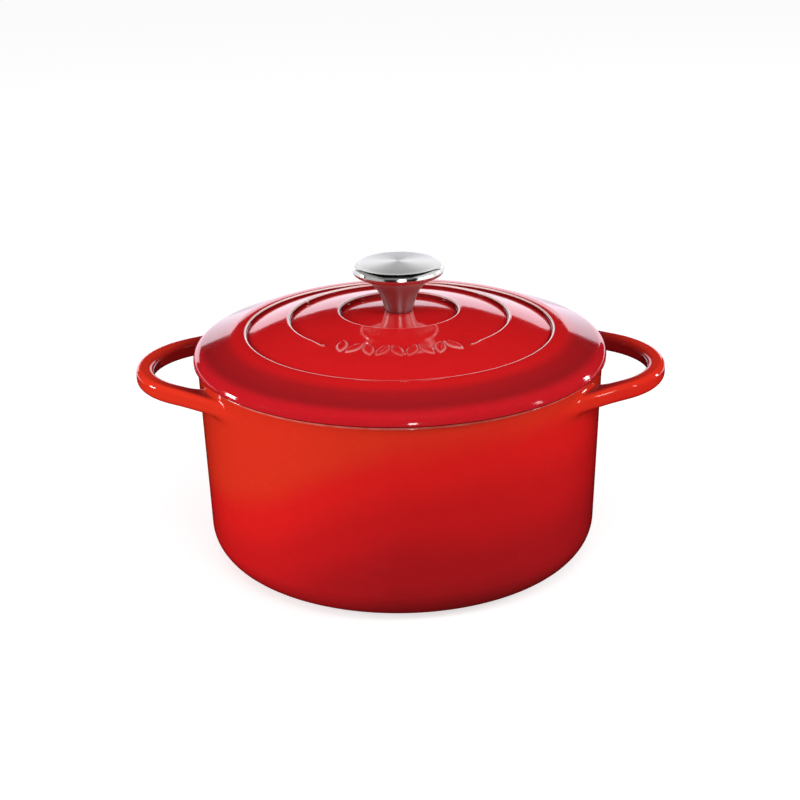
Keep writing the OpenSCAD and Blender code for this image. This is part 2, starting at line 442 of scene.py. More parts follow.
def add_handle(shell, grid, first_row, heights, angles, centre):
    """Fills the opening left in the wall round one handle with the blended surface of wall and strap."""
    offsets = (np.degrees(angles) - centre + 180) % 360 - 180
    columns = np.flatnonzero(np.abs(offsets) < PATCH_HALF_ANGLE + PATCH_ANGLE_STEP / 4)
    columns = columns[np.argsort(offsets[columns])]
    spread = offsets[columns]
    turn = np.radians(np.append(spread - PATCH_ANGLE_STEP / 2, spread[-1] + PATCH_ANGLE_STEP / 2) + centre)
    level = np.append(heights - PATCH_STEP / 2, heights[-1] + PATCH_STEP / 2)
    outward = np.arange(PATCH_DEPTH, TIP_X - RIM_R + PATCH_MARGIN, PATCH_STEP)
    a, h, o = np.meshgrid(turn, level, outward, indexing="ij")

    def place(a, h, o):
        radius = wall_r(h) + o
        return np.column_stack([(radius * np.cos(a)).ravel(), (radius * np.sin(a)).ravel(), h.ravel()])

    value = pot_field(place(a, h, o)).reshape(a.shape)
    inside = value < 0
    used, middle = cell_points(value, inside, np.stack([a, h, o], axis=-1))
    cells = [n - 1 for n in value.shape]
    number = np.full(cells, -1)
    border = (used[:, 0] == 0) | (used[:, 0] == cells[0] - 1)
    border |= (used[:, 1] == 0) | (used[:, 1] == cells[1] - 1)
    for cell in used[border]:
        number[tuple(cell)] = grid[first_row + cell[1], columns[cell[0]]]
    points = onto_surface(place(*middle[~border].T))
    new = shell.add_points(points)
    number[tuple(used[~border].T)] = new
    faces = crossing_faces(inside, number)
    relax(shell, faces, new)
    shell.known_normals.update(zip(new.tolist(), field_gradient(shell.points[new])))
    for corners in faces:
        shell.add_face(corners)


def relax(shell, faces, free, rounds=3):
    """Evens out the new points along the surface."""
    corners = np.array(faces)
    for _ in range(rounds):
        total, count = np.zeros_like(shell.points), np.zeros(len(shell.points))
        for i in range(4):
            for other in (corners[:, (i + 1) % 4], corners[:, i - 1]):
                np.add.at(total, corners[:, i], shell.points[other])
                np.add.at(count, corners[:, i], 1)
        moved = total[free] / np.maximum(count[free], 1)[:, None]
        shell.points[free] = onto_surface((shell.points[free] + moved) / 2)


def handle_lit_share(shell):
    """How much of the lit red each point of the pot keeps over a maroon painted shade. The inner faces of the
    handles, turned towards the wall, take the painted shade, and their top faces get some painted light near
    the tips."""
    points, normals = shell.points, shell.normals()
    radius = np.hypot(points[:, 0], points[:, 1])
    on_handle = smooth_step(radius, *HANDLE_SHADE_R)
    side = np.sign(points[:, 0]) * (TIP_X - BEND_R)
    outward = np.column_stack([points[:, 0] - side, points[:, 1]])
    outward /= np.maximum(np.linalg.norm(outward, axis=1), 1)[:, None]
    facing = (normals[:, :2] * outward).sum(axis=1)
    top = np.maximum(normals[:, 2], 0) * smooth_step(radius, *HANDLE_TOP_LIGHT_R)
    share = np.clip(smooth_step(facing, *HANDLE_SHADE_FACING) + HANDLE_TOP_LIGHT_SHARE * top, 0, 1)
    return 1 + (share - 1) * on_handle


def make_pot(outside_enamel, inside_enamel):
    outside, rim, inside = pot_outline()
    heights = patch_heights()
    first_row = len(outside) - len(heights)
    last_row = len(outside) - 1
    angles = angles_with_fine_parts(COLUMN_STEP, PATCH_ANGLE_STEP, (0, 180), PATCH_HALF_ANGLE)
    degrees = np.degrees(angles)

    def in_handle(row, column):
        nearest = min(abs((degrees[column] + PATCH_ANGLE_STEP / 2 - c + 180) % 360 - 180) for c in (0, 180))
        return first_row <= row < last_row and nearest < PATCH_HALF_ANGLE

    shell = Shell()
    red_rows = len(outside) + len(rim) - 4
    outline = outside + rim + inside
    slots = [0 if i < red_rows else 1 for i in range(len(outline))]
    grid = shell.lathe(outline, angles, slots, hole=in_handle)
    for centre in (0, 180):
        add_handle(shell, grid, first_row, heights, angles, centre)
    # Painted shade on the handles' inner faces and painted light on their tops, stored on the points.
    shell.values["lit_share"] = handle_lit_share(shell)
    piece = shell.build("enamelled_pot", [outside_enamel, inside_enamel])
    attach(piece, "pot")
    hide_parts("pot")
    return piece


# --- The lid ---

def drop(radius):
    """How far the lid's dome has fallen at a distance from the axis."""
    return DOME_R - math.sqrt(DOME_R ** 2 - radius ** 2)


LID_TOP = LID_HIGH[2]
FOOT_4 = LID_TOP - drop(STEP_R[2]) + drop(PAD_R)
FOOT_3 = FOOT_4 + STEP_H[2] - drop(STEP_R[1]) + drop(STEP_R[2])
FOOT_2 = FOOT_3 + STEP_H[1] - drop(STEP_R[0]) + drop(STEP_R[1])
CREST_Z = FOOT_2 + STEP_H[0]
SEAT_Z = LID_LOW[2] + RIB_H


def zone(foot, outer, inner, steps, lower=0.0):
    """A zone of the lid's surface from its outer foot in to its inner edge, following the dome."""
    radii = np.linspace(outer, inner, steps + 1)
    return [(r, foot + drop(outer) - drop(r) - lower) for r in radii]


def foot_and_zone(foot, outer, inner, steps):
    """The rounded foot of a step and the zone inside it."""
    start = outer - FOOT_ROUND
    lift = foot + drop(outer) - drop(start)
    tilt = math.degrees(math.asin(start / DOME_R))
    corner = arc((start, lift + FOOT_ROUND), FOOT_ROUND, 0, tilt - 90, 6)
    return corner + zone(foot, outer, inner, steps)[1:]


def slope_z(radius):
    return CREST_Z - math.tan(SHOULDER_LEAN) * (radius - STEP_R[0] - CREST_BAND)


def underside_outline():
    """The screw hole and the underside, out past the rib to the seat."""
    under_top = LID_TOP - PAD_T
    rib_outer = bore_r(POT_H) - RIB_CLEARANCE
    rib_inner = rib_outer - RIB_T
    fillet_x = rib_inner - RIB_FILLET
    points = [(SCREW_HOLE_R, LID_TOP), (SCREW_HOLE_R, under_top), (PAD_R, under_top)]
    points += zone(FOOT_4, STEP_R[2] - UNDER_INSIDE, PAD_R + 1, 6, LID_T)[::-1]
    points += zone(FOOT_3, STEP_R[1] - UNDER_INSIDE, STEP_R[2] + UNDER_OUTSIDE, 8, LID_T)[::-1]
    points += zone(FOOT_2, STEP_R[0] - UNDER_INSIDE, STEP_R[1] + UNDER_OUTSIDE, 8, LID_T)[::-1]
    points += [(STEP_R[0] + UNDER_OUTSIDE, CREST_Z - LID_T)]
    points += arc((fillet_x, slope_z(fillet_x) - LID_T - RIB_FILLET), RIB_FILLET, 70, 0, 8)
    points += arc((rib_inner + RIB_ROUND, SEAT_Z - RIB_H + RIB_ROUND), RIB_ROUND, 180, 270, 6)
    points += arc((rib_outer - RIB_ROUND, SEAT_Z - RIB_H + RIB_ROUND), RIB_ROUND, 270, 360, 6)
    return points + [(rib_outer, SEAT_Z)]


def lip_outline():
    """Round the lip and over the shoulder."""
    shoulder_x = LID_R - SHOULDER_R
    shoulder_top = shoulder_x + SHOULDER_R * math.sin(SHOULDER_LEAN)
    shoulder_z = slope_z(shoulder_top) - SHOULDER_R * math.cos(SHOULDER_LEAN)
    points = arc((LID_R - LIP_R, SEAT_Z + LIP_R), LIP_R, -90, -10, 8)
    return points + arc((shoulder_x, shoulder_z), SHOULDER_R, 0, 90 - math.degrees(SHOULDER_LEAN), 18)


def outer_step_outline(shoulder_end):
    """Up the slope and over the outer step, in to the ring that holds the leaves."""
    points = with_steps([shoulder_end, (STEP_R[0] + CREST_BAND, CREST_Z)], 4)[1:]
    points += [(STEP_R[0] + CREST_EDGE, CREST_Z)]
    points += arc((STEP_R[0] + CREST_R, CREST_Z - CREST_R), CREST_R, 90, 180, 8)
    return points + foot_and_zone(FOOT_2, STEP_R[0], GAP_OUTER_R, 4)[:-1]


def middle_step_outline():
    """The ring with the middle step, which gives way to the leaves at the front."""
    points = zone(FOOT_2 + drop(STEP_R[0]) - drop(GAP_OUTER_R), GAP_OUTER_R, STEP_R[1] + CREST_EDGE, 26)
    points += arc((STEP_R[1] + CREST_R, FOOT_3 + STEP_H[1] - CREST_R), CREST_R, 75, 180, 8)
    return points + foot_and_zone(FOOT_3, STEP_R[1], GAP_INNER_R, 26)


def inner_step_outline():
    """Over the inner step, in to the knob."""
    points = zone(FOOT_3 + drop(STEP_R[1]) - drop(GAP_INNER_R), GAP_INNER_R, STEP_R[2] + CREST_EDGE, 4)[1:]
    points += arc((STEP_R[2] + CREST_R, FOOT_4 + STEP_H[2] - CREST_R), CREST_R, 78, 180, 8)
    return points + foot_and_zone(FOOT_4, STEP_R[2], PAD_R, 10)


def leaf_relief(radius, angle):
    """Height of the leaf relief and strength of the painted highlight along its outline, with angle in
    degrees from the front.
    """
    height = np.zeros_like(radius)
    outline = np.zeros_like(radius)
    for number in range(LEAF_COUNT):
        turn = LEAF_SPAN * (number / (LEAF_COUNT - 1) - 0.5)
        tilt = LEAF_TILT * (1 if number % 2 else -1)
        across = radius * np.sin(np.radians(angle - turn))
        along = radius * np.cos(np.radians(angle - turn)) - LEAF_R
        u = across * math.cos(tilt) + along * math.sin(tilt)
        v = along * math.cos(tilt) - across * math.sin(tilt)
        inset = LEAF_HALF_WIDTH * (1 - (v / LEAF_HALF_LENGTH) ** 2) - np.abs(u)
        vein = VEIN_DEPTH * np.exp(-(u / VEIN_WIDTH) ** 2) * smooth_step(inset, 0, 1)
        height = np.maximum(height, LEAF_HEIGHT * (smooth_step(inset, -0.1, 1.0) - vein))
        outline = np.maximum(outline, np.exp(-((inset - LEAF_LINE_INSET) / LEAF_LINE_WIDTH) ** 2))
    return height, outline


def open_the_middle_step(shell, rows, angles, painted_edge_light_and_shade):
    """Fades the middle step out at the front, into one smooth slope with the leaves on it."""
    away = (np.degrees(angles) - FRONT + 180) % 360 - 180
    share = 1 - smooth_step(np.abs(away), GAP_HALF_ANGLE - GAP_FADE, GAP_HALF_ANGLE + GAP_FADE)
    step_radii = np.hypot(*shell.points[rows[:, 0], :2].T)
    even_radii = np.linspace(GAP_OUTER_R, GAP_INNER_R, len(rows))
    radii = GAP_STEP_ROWS * step_radii + GAP_EVEN_ROWS * even_radii
    rise = STEP_H[1] * smooth_step(radii, STEP_R[1] - GAP_RISE_HALF, STEP_R[1] + GAP_RISE_HALF)
    heights = FOOT_3 + drop(STEP_R[1]) - np.array([drop(r) for r in radii]) + rise
    for row, radius, height in zip(rows, radii, heights):
        here = shell.points[row]
        relief, outline = leaf_relief(np.full(len(angles), radius), away)
        smooth = np.column_stack([radius * np.cos(angles), radius * np.sin(angles), height + relief])
        shell.points[row] = here + (smooth - here) * share[:, None]
        # The leaves' outlines take a painted highlight where the step fades out.
        painted_edge_light_and_shade[row] = painted_edge_light_and_shade[row] * (1 - share) + LEAF_OUTLINE_HIGHLIGHT * outline * share


def crest_light_and_foot_shade(shell, rows):
    """Painted light on the lid's steps: a painted highlight along each crest (above zero) and a painted shade
    at each foot and step wall (below zero).
    """
    shares = np.zeros(len(shell.points))
    for row in rows:
        radius = math.hypot(*shell.points[row[0], :2])
        for step in STEP_R:
            if -FOOT_ROUND < radius - step < CREST_START:
                shares[row] = -1
            elif CREST_START <= radius - step < CREST_LINE:
                shares[row] = 1
    return shares


def make_lid(outside_enamel, inside_enamel):
    under, lip, middle = underside_outline(), lip_outline(), middle_step_outline()
    outer = outer_step_outline(lip[-1])
    outline = under + lip + outer + middle + inner_step_outline()
    slots = [1 if i < len(under) else 0 for i in range(len(outline))]
    fine_half = GAP_HALF_ANGLE + GAP_FADE + LEAF_COLUMN_MARGIN
    angles = angles_with_fine_parts(COLUMN_STEP, LEAF_COLUMN_STEP, (FRONT,), fine_half)
    shell = Shell()
    grid = shell.lathe(outline, angles, slots, closed=True)
    top_start = len(under) + len(lip)
    middle_start = top_start + len(outer)
    # Painted highlights at the crests and painted shade at the step feet, then painted highlights along the
    # leaf outlines.
    painted_edge_light_and_shade = crest_light_and_foot_shade(shell, grid[top_start:])
    open_the_middle_step(shell, grid[middle_start:middle_start + len(middle)], angles, painted_edge_light_and_shade)
    shell.values["edge"] = painted_edge_light_and_shade
    piece = shell.build("enamelled_lid", [outside_enamel, inside_enamel])
    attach(piece, "lid")
    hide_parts("lid")
    return piece


# --- The knob and its fixings ---

def stem_r(height):
    flare = KNOB_R - DISC_EDGE - FOOT_R - STEM_SLOPE * DISC_LOW
    return FOOT_R + STEM_SLOPE * height + flare * (height / DISC_LOW) ** 4


def knob_outline():
    bottom = KNOB_LOW[2]
    face_r = KNOB_R - DISC_EDGE
    points = [(0, TAPPED_DEPTH), (TAPPED_R, TAPPED_DEPTH), (TAPPED_R, 0)]
    points += arc((FOOT_R - KNOB_FOOT_ROUND, KNOB_FOOT_ROUND), KNOB_FOOT_ROUND, -90, 0, 5)
    heights = [DISC_LOW * i / STEM_ROWS for i in range(2, STEM_ROWS)]
    points += [(stem_r(z), z) for z in heights]
    points += arc((face_r, DISC_MID), DISC_EDGE, -90, 75, 20)
    for i in range(FACE_ROWS, -1, -1):
        points.append((face_r * i / FACE_ROWS, KNOB_H - DISC_DOME * (i / FACE_ROWS) ** 2))
    return [(r, z + bottom) for r, z in points]


def make_knob(steel):
    shell = Shell()
    shell.lathe(knob_outline(), even_angles(KNOB_COLUMNS))
    piece = shell.build("steel_knob", [steel])
    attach(piece, "lid")
    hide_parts("knob")
    return piece


def make_ring(name, node, hole_r, edge, material):
    """A flat ring with rounded edges in the place of a CAD ring."""
    low, high = node_box(node)
    outer, bottom, top = high[1], low[2], high[2]
    outline = arc((hole_r + edge, bottom + edge), edge, 180, 270, 4)
    outline += arc((outer - edge, bottom + edge), edge, -90, 0, 4)
    outline += arc((outer - edge, top - edge), edge, 0, 90, 4)
    outline += arc((hole_r + edge, top - edge), edge, 90, 180, 4)
    shell = Shell()
    shell.lathe(outline, even_angles(FIXING_COLUMNS), closed=True)
    piece = shell.build(name, [material])
    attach(piece, "lid")
    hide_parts(node)
    return piece


def make_lock_washer(material):
    """The split lock washer: a square wire bent into one turn, with a slanted gap."""
    low, high = node_box("spring_washer")
    outer, inner, edge = high[1], WASHER_HOLE_R, WIRE_EDGE
    middle_r, half_w, half_h = (outer + inner) / 2, (outer - inner) / 2, (high[2] - low[2]) / 2
    section = []
    for x, z, start in ((1, 1, 0), (-1, 1, 90), (-1, -1, 180), (1, -1, 270)):
        section += arc((x * (half_w - edge), z * (half_h - edge)), edge, start, start + 90, 3)
    shell = Shell()
    rings = []
    for turn in np.linspace(LOCK_GAP / 2, 2 * math.pi - LOCK_GAP / 2, LOCK_ROWS):
        points = []
        for x, z in section:
            a = turn + LOCK_SLANT * z / half_h
            points.append(((middle_r + x) * math.cos(a), (middle_r + x) * math.sin(a), low[2] + half_h + z))
        rings.append(shell.add_points(points).tolist())
    for here, there in zip(rings, rings[1:]):
        for i in range(len(section)):
            shell.add_face([here[i - 1], there[i - 1], there[i], here[i]])
    shell.add_face(rings[0])
    shell.add_face(rings[-1][::-1])
    piece = shell.build("lock_washer", [material])
    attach(piece, "lid")
    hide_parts("spring_washer")
    return piece


def make_screw(material):
    """The pan head screw, head down, with a cross recess."""
    low, high = node_box("knob_screw")
    head_r, top, seat, edge = high[1], high[2], low[2] + HEAD_H, WIRE_EDGE
    outline = [(0, low[2])] + arc((head_r - HEAD_ROUND, low[2] + HEAD_ROUND), HEAD_ROUND, -90, 0, 10)
    outline += arc((head_r - edge, seat - edge), edge, 0, 90, 4)
    outline += arc((SHANK_R + edge, seat + edge), edge, -90, -180, 4)
    outline += [(SHANK_R, top - SHANK_TIP), (SHANK_R - SHANK_TIP, top), (0, top)]
    shell = Shell()
    shell.lathe(outline, even_angles(FIXING_COLUMNS))
    piece = shell.build("screw", [material])
    cutter = cross_cutter(low[2])
    cut = piece.modifiers.new("recess", "BOOLEAN")
    cut.object, cut.operation = cutter, "DIFFERENCE"
    with bpy.context.temp_override(object=piece, active_object=piece):
        bpy.ops.object.modifier_apply(modifier=cut.name)
    bpy.data.objects.remove(cutter)
    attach(piece, "lid")
    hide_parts("knob_screw")
    return piece


def cross_cutter(face):
    """A tapered cross that sinks into the screw's head from below."""
    maker = bmesh.new()
    loops = []
    for z, (half, reach) in ((face - CROSS_BELOW, CROSS_MOUTH), (face + CROSS_DEPTH, CROSS_BOTTOM)):
        arm = [(reach, -half), (reach, half), (half, half)]
        corners = []
        for _ in range(4):
            corners += arm
            arm = [(-y, x) for x, y in arm]
        loops.append([maker.verts.new((x * MM, y * MM, z * MM)) for x, y in corners])
    bottom, top = loops
    maker.faces.new(bottom[::-1])
    maker.faces.new(top)
    for i in range(len(bottom)):
        maker.faces.new([bottom[i - 1], bottom[i], top[i], top[i - 1]])
    mesh = bpy.data.meshes.new("cross_cutter")
    maker.to_mesh(mesh)
    maker.free()
    cutter = bpy.data.objects.new("cross_cutter", mesh)
    bpy.context.scene.collection.objects.link(cutter)
    return cutter


# --- Colours, and where they change, in metres ---

# The pot's reds by height, darker towards the base: partly the enamel's own colour, partly painted shade.
POT_REDS = [(0.0, (0.28, 0.010, 0.012)), (0.28, (0.46, 0.010, 0.013)), (0.55, (0.64, 0.011, 0.013)),
            (0.8, (0.79, 0.014, 0.013)), (1.0, (0.79, 0.034, 0.014))]
# The lid's reds by distance from the axis; the lighter crimson at the lip is partly the enamel's colour,
# partly painted light where it faces the front.
LID_REDS = [(0.0, (0.63, 0.011, 0.013)), (0.38, (0.64, 0.011, 0.013)), (0.58, (0.38, 0.010, 0.013)),
            (0.74, (0.33, 0.010, 0.013)), (0.88, (0.57, 0.011, 0.018))]
CREAMS = [(0.3, (0.80, 0.74, 0.60)), (0.7, (0.76, 0.69, 0.55))]
# Steel colour by height: the darker stem under the disc is painted shade.
STEEL_TONES_WITH_STEM_SHADE = [(0.0, (0.42, 0.41, 0.41)), (0.6, (0.42, 0.41, 0.41)), (1.0, (0.62, 0.62, 0.61))]
# Painted shade on the handles' inner faces, where they face the wall.
HANDLE_PAINTED_SHADE = (0.20, 0.008, 0.010, 1)
# Painted highlight along the pot's rim.
PAINTED_RIM_HIGHLIGHT = (0.92, 0.36, 0.30, 1)
# Painted highlight on the lid's step crests and leaf outlines, and painted shade at the step feet.
PAINTED_CREST_HIGHLIGHT = (1.0, 0.82, 0.80, 1)
PAINTED_FOOT_SHADE = (0.09, 0.004, 0.007, 1)
FIXING_GREY = (0.50, 0.50, 0.51, 1)
RUBBER_BLACK = (0.018, 0.018, 0.019, 1)

POT_REDS_TOP = 0.124
# How far the pot's left side moves up its reds: painted light from the left.
POT_LIT_LEFT_X = (-0.12, 0.0)
# Heights of the painted highlight along the pot's rim.
RIM_LINE = (0.1218, 0.1227)
LID_REDS_R = (0.08, 0.13)
# The painted crest highlight is weaker at the front and back and full at the sides.
CREST_SIDES = (0.008, 0.035)
POLISHED_EDGE_R = (0.0225, 0.0255)
# Height over which the stem's painted shade gives way to the head's lighter steel.
STEM_SHADE_H = 0.024


# --- Materials ---

class Finish:
    """A node material with one Principled shader, and short cuts to build its pattern."""

    def __init__(self, name, **settings):
        self.material = bpy.data.materials.new(name)
        self.material.use_nodes = True
        self.tree = self.material.node_tree
        self.shader = self.tree.nodes["Principled BSDF"]
        for socket, value in settings.items():
            self.shader.inputs[socket.replace("_", " ")].default_value = value
        self.place = self.add("ShaderNodeTexCoord").outputs["Object"]

    def add(self, kind, **settings):
        node = self.tree.nodes.new(kind)
        for name, value in settings.items():
            setattr(node, name, value)
        return node

    def link(self, source, target):
        self.tree.links.new(source, target)

    def noise(self, size, detail=2.0):
        """Smooth noise from 0 to 1 with features of about the size given, in millimetres."""
        node = self.add("ShaderNodeTexNoise")
        node.inputs["Scale"].default_value = 1 / (size * MM)
        node.inputs["Detail"].default_value = detail
        self.link(self.place, node.inputs["Vector"])
        return node.outputs["Fac"]

    def spread(self, value, low, high, to_low, to_high, smooth=False):
        """Maps a value's range onto another, and holds it at the ends."""
        node = self.add("ShaderNodeMapRange", interpolation_type="SMOOTHSTEP" if smooth else "LINEAR")
        for socket, number in zip(("From Min", "From Max", "To Min", "To Max"), (low, high, to_low, to_high)):
            node.inputs[socket].default_value = number
        self.link(value, node.inputs["Value"])
        return node.outputs["Result"]

    def math(self, operation, a, b=None):
        node = self.add("ShaderNodeMath", operation=operation)
        for socket, value in zip(node.inputs, (a, b)):
            if isinstance(value, (int, float)):
                socket.default_value = value
            elif value is not None:
                self.link(value, socket)
        return node.outputs[0]

    def ramp(self, value, stops):
        """Colours along a value from 0 to 1, from a list of (position, colour)."""
        node = self.add("ShaderNodeValToRGB")
        ramp = node.color_ramp
        ramp.interpolation = "EASE"
        while len(ramp.elements) < len(stops):
            ramp.elements.new(0.5)
        for element, (position, colour) in zip(ramp.elements, stops):
            element.position = position
            element.color = (*colour, 1)
        self.link(value, node.inputs["Fac"])
        return node.outputs["Color"]

    def tint(self, colour, value, amount):
        """The colour, made lighter and darker by a value from 0 to 1."""
        node = self.add("ShaderNodeHueSaturation")
        self.link(colour, node.inputs["Color"])
        self.link(self.spread(value, 0, 1, 1 - amount, 1 + amount), node.inputs["Value"])
        return node.outputs["Color"]

    def bump(self, height, distance, strength=1.0, after=None):
        node = self.add("ShaderNodeBump")
        node.inputs["Distance"].default_value = distance * MM
        node.inputs["Strength"].default_value = strength
        self.link(height, node.inputs["Height"])
        if after:
            self.link(after, node.inputs["Normal"])
        return node.outputs["Normal"]

    def axis_distance(self):
        """Distance from the Z axis, in metres."""
        parts = self.add("ShaderNodeSeparateXYZ")
        self.link(self.place, parts.inputs[0])
        squares = [self.math("MULTIPLY", parts.outputs[i], parts.outputs[i]) for i in (0, 1)]
        return self.math("SQRT", self.math("ADD", *squares))

    def along(self, axis):
        """Distance from the origin along X, Y or Z, in metres."""
        parts = self.add("ShaderNodeSeparateXYZ")
        self.link(self.place, parts.inputs[0])
        return parts.outputs[axis]

    def cover(self, under, over, share):
        """A plain colour laid over another one, as far as share goes."""
        mix = self.add("ShaderNodeMix", data_type="RGBA")
        self.link(share, mix.inputs[0])
        self.link(under, mix.inputs[6])
        mix.inputs[7].default_value = over
        return mix.outputs[2]

    def set(self, socket, value):
        self.link(value, self.shader.inputs[socket])


def enamel_surface(finish, gloss=0.07):
    """The glassy surface of fired enamel: a faint orange peel, and a slightly uneven gloss."""
    finish.set("Roughness", finish.spread(finish.noise(14, 3), 0.35, 0.65, gloss * 0.8, gloss * 1.3))
    peel = finish.bump(finish.noise(9, 1), 0.02)
    finish.set("Normal", finish.bump(finish.noise(2.6, 1), 0.0025, after=peel))


def pot_enamel():
    """Red enamel from orange red at the rim to a deep red at the base, partly its own colour and partly
    painted shade; painted light on the left side and a maroon painted shade on the handles' inner faces.
    """
    finish = Finish("pot_red_enamel", IOR=1.5)
    # Darker towards the base: partly the enamel's own colour, partly painted shade.
    share = finish.spread(finish.along("Z"), 0, POT_REDS_TOP, 0, 1)
    # Painted light: the left side moves up the ramp towards the lighter, more orange reds.
    share = finish.math("ADD", share, finish.spread(finish.along("X"), *POT_LIT_LEFT_X, 0.50, 0))
    drift = finish.math("ADD", share, finish.spread(finish.noise(60, 2), 0.3, 0.7, -0.03, 0.03))
    colour = finish.ramp(drift, POT_REDS)
    # Painted shade: the handles' inner faces, turned towards the wall, take a deep maroon.
    lit_share = finish.add("ShaderNodeAttribute", attribute_name="lit_share").outputs["Fac"]
    colour = finish.cover(colour, HANDLE_PAINTED_SHADE, finish.math("SUBTRACT", 1, lit_share))
    # A painted highlight: a thin light line along the pot's rim, broken up by noise.
    rim = finish.math("MULTIPLY", finish.spread(finish.along("Z"), *RIM_LINE, 0, 0.8),
                      finish.spread(finish.noise(6, 2), 0.35, 0.65, 0.35, 0.8))
    colour = finish.cover(colour, PAINTED_RIM_HIGHLIGHT, rim)
    finish.set("Base Color", finish.tint(colour, finish.noise(5, 4), 0.05))
    enamel_surface(finish)
    return finish.material


def lid_enamel():
    """Red enamel on the lid: a brighter middle, a deep red slope and a crimson lip, with painted highlights
    along the step crests and leaf outlines and painted shade at the step feet.
    """
    finish = Finish("lid_red_enamel", IOR=1.5)
    distance = finish.spread(finish.axis_distance(), *LID_REDS_R, 0, 1)
    colour = finish.ramp(distance, LID_REDS)
    # Painted highlights along the step crests and leaf outlines, stronger to the left and right, and painted
    # shade at the step feet and walls.
    edge = finish.add("ShaderNodeAttribute", attribute_name="edge").outputs["Fac"]
    crest_highlight = finish.math("MULTIPLY", finish.spread(edge, 0, 1, 0, 1),
                       finish.spread(finish.math("ABSOLUTE", finish.along("X")), *CREST_SIDES, 0.3, 1))
    colour = finish.cover(colour, PAINTED_CREST_HIGHLIGHT, crest_highlight)
    colour = finish.cover(colour, PAINTED_FOOT_SHADE, finish.spread(edge, -1, 0, 0.68, 0))
    finish.set("Base Color", finish.tint(colour, finish.noise(5, 4), 0.05))
    enamel_surface(finish)
    return finish.material


def cream_enamel():
    """The pale enamel inside, with a few faint specks."""
    finish = Finish("cream_enamel", IOR=1.5)
    tone = finish.ramp(finish.noise(40, 3), CREAMS)
    finish.set("Base Color", finish.tint(tone, finish.noise(1.2, 2), 0.04))
    enamel_surface(finish, 0.12)
    return finish.material


def knob_steel():
    """Stainless steel, turned on the top face, satin on the stem and polished round the edge."""
    finish = Finish("satin_steel", Metallic=1.0, Anisotropic=0.75, Anisotropic_Rotation=0.25)
    distance, height = finish.axis_distance(), finish.along("Z")
    turned = finish.add("ShaderNodeTangent", direction_type="RADIAL", axis="Z")
    finish.set("Tangent", turned.outputs["Tangent"])
    grooves = finish.add("ShaderNodeTexNoise", noise_dimensions="1D")
    grooves.inputs["Scale"].default_value = 1 / (0.35 * MM)
    finish.link(finish.math("ADD", distance, height), grooves.inputs["W"])
    edge = finish.spread(distance, *POLISHED_EDGE_R, 0, 1, smooth=True)
    satin = finish.spread(grooves.outputs["Fac"], 0.3, 0.7, 0.30, 0.40)
    polish = finish.math("MULTIPLY", finish.math("SUBTRACT", 1, edge), satin)
    finish.set("Roughness", finish.math("ADD", polish, finish.math("MULTIPLY", edge, 0.17)))
    foot = KNOB_LOW[2] * MM
    # Painted shade: the stem, under the disc, gets a darker steel colour than the head.
    tone = finish.ramp(finish.spread(height, foot, foot + STEM_SHADE_H, 0, 1), STEEL_TONES_WITH_STEM_SHADE)
    finish.set("Base Color", finish.tint(tone, finish.noise(0.5, 3), 0.05))
    finish.set("Normal", finish.bump(grooves.outputs["Fac"], 0.002, 0.4))
    return finish.material


def plain_steel():
    finish = Finish("plain_steel", Base_Color=FIXING_GREY, Metallic=1.0)
    finish.set("Roughness", finish.spread(finish.noise(0.8, 3), 0.3, 0.7, 0.28, 0.46))
    finish.set("Normal", finish.bump(finish.noise(0.3, 2), 0.004))
    return finish.material


def dark_rubber():
    finish = Finish("dark_rubber", Base_Color=RUBBER_BLACK)
    finish.set("Roughness", finish.spread(finish.noise(0.6, 2), 0.3, 0.7, 0.55, 0.75))
    finish.set("Normal", finish.bump(finish.noise(0.25, 2), 0.01))
    return finish.material


# --- Camera, floor and light ---

SENSOR = 36.0
LENS = 72.55
CAMERA_DISTANCE = 1.0
CAMERA_ELEVATION = math.radians(21.23)
CAMERA_TURN = math.radians(1.26)
CAMERA_ROLL = math.radians(-1.08)
AIM = Vector((-0.00039, 0, 0.09167))

FLOOR_R = 12
FLOOR_DROP = 0.0002
DOME_LIGHT = 0.5
STUDIO_R = 1.5
LIGHT_AIM = (0, 0, 0.08)
KNOB_AIM = (0, 0, 0.17)
# Small strip lights that show as the bright glints, as turn, height, width and power
GLINTS = (("glint_front", 7, 0.25, 0.10, 2.2), ("glint_left", -97, 0.2, 0.22, 4.5),
          ("glint_right", 76, 0.35, 0.10, 0.9), ("glint_far_right", 116, 0.25, 0.10, 2.0))
# Panels that only the steel sees, as turn, height, width, height of the panel and power
STEEL_PANELS = (("steel_left", -60, -0.1, 1.5, 1.7, 5.5), ("steel_back_left", -120, -0.1, 1.5, 1.7, 9.6),
                ("steel_front", 10, -0.1, 0.5, 1.7, 13), ("steel_right", 73, -0.1, 1.4, 1.7, 16),
                ("steel_back_right", 125, -0.1, 1.5, 1.7, 10.7), ("steel_high_front", 0, 1.2, 2.6, 1.2, 3),
                ("steel_high_left", -90, 1.2, 2.6, 1.2, 4.5), ("steel_high_right", 90, 1.2, 2.6, 1.2, 10),
                ("steel_back", 180, 0.75, 2.4, 0.9, 8))


def make_camera():
    data = bpy.data.cameras.new("camera")
    data.lens, data.sensor_width = LENS, SENSOR
    data.clip_start, data.clip_end = 0.05, 50
    camera = bpy.data.objects.new("camera", data)
    bpy.context.scene.collection.objects.link(camera)
    flat = math.cos(CAMERA_ELEVATION)
    back = Vector((flat * math.sin(CAMERA_TURN), -flat * math.cos(CAMERA_TURN), math.sin(CAMERA_ELEVATION)))
    turn = back.to_track_quat("Z", "Y").to_matrix().to_4x4() @ Matrix.Rotation(CAMERA_ROLL, 4, "Z")
    camera.matrix_world = Matrix.Translation(AIM + back * CAMERA_DISTANCE) @ turn
    bpy.context.scene.camera = camera


